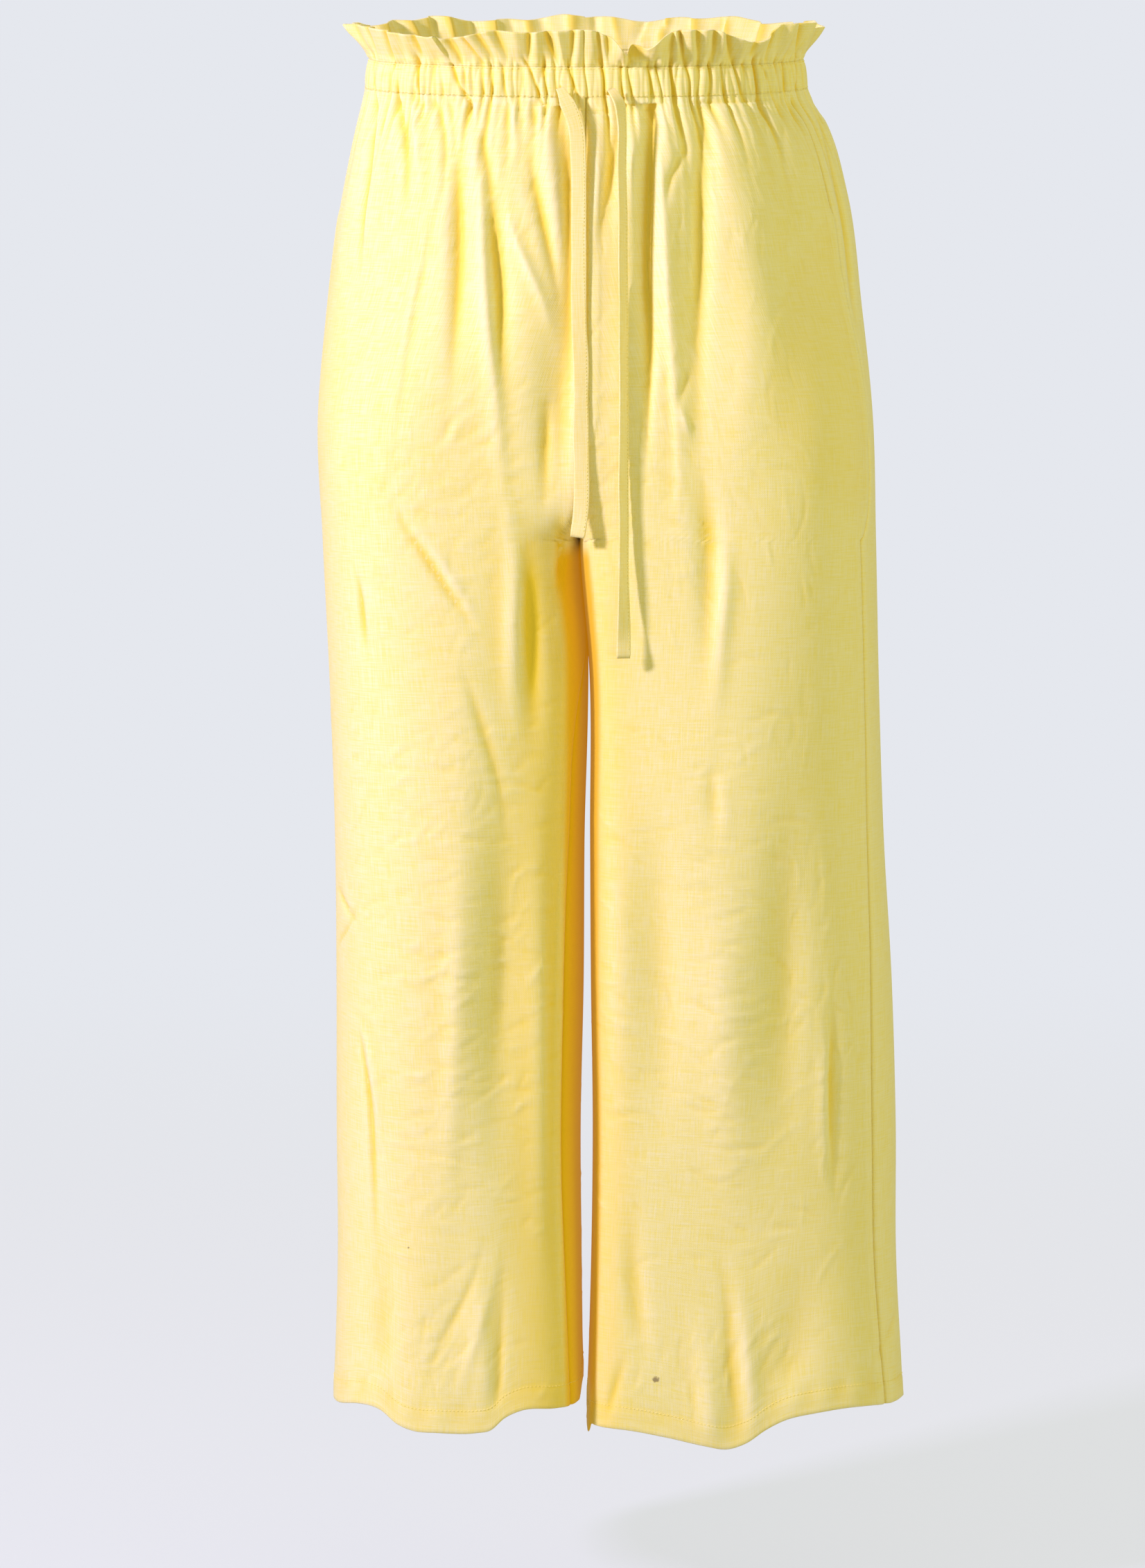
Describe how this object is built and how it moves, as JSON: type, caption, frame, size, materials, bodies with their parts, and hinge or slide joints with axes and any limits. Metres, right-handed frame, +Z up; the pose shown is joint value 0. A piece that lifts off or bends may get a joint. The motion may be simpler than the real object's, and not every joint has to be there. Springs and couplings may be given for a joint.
{
  "type": "straight-leg trousers",
  "caption": "Wide straight-leg linen trousers with a gathered paperbag waist and a flat drawstring, in the hollow form they keep when worn.",
  "frame": {"origin": "centre of the ring of the waist casing, where the wearer's hips hold the trousers", "axes": "+Z up, the front faces -Y, +X is the wearer's left"},
  "size_m": [0.406, 0.2853, 0.9866],
  "materials": {
    "cloth": "plain-woven slubby linen blend, pale yellow, matt with a faint sheen",
    "pocket_cloth": "the same linen blend, used flat in two layers",
    "tie_cloth": "the same linen blend, folded into a flat tie with a stitched edge"
  },
  "bodies": {
    "root": {"front_left": "cloth", "front_right": "cloth", "back_left": "cloth", "back_right": "cloth", "waist_casing": "cloth", "waist_ruffle": "cloth", "pocket_left": "pocket_cloth", "pocket_right": "pocket_cloth", "drawstring_left": "tie_cloth", "drawstring_right": "tie_cloth"}
  },
  "joints": []
}
